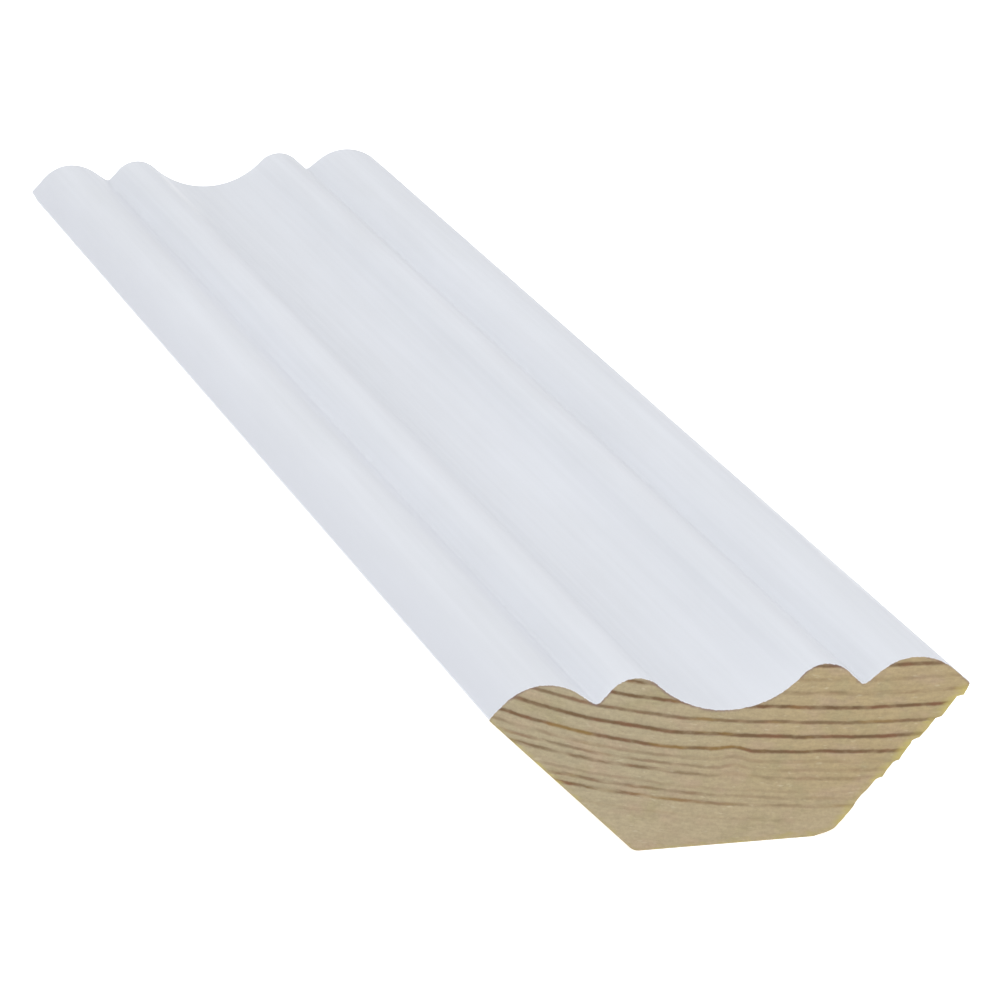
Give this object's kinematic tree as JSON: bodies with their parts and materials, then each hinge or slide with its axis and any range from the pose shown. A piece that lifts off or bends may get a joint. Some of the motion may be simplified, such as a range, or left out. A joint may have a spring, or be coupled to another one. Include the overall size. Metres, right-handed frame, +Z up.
{
  "type": "crown moulding length",
  "caption": "Short straight length of painted softwood crown moulding: cove between beads and quirks on the face, bevelled edges, flat back and bare sawn ends.",
  "frame": {"origin": "middle of the flat back, half way along the length, which is the middle of the bounding box's underside", "axes": "+X across the face to the right, +Y along the length away from the end that the picture shows, +Z up out of the face"},
  "size_m": [0.0572, 0.305, 0.0206],
  "materials": {
    "painted_softwood": "bluish-white satin factory paint on the moulded face; bare pale brown softwood on the bevels, back and sawn ends"
  },
  "bodies": {
    "root": {"crown_moulding": "painted_softwood"}
  },
  "joints": []
}
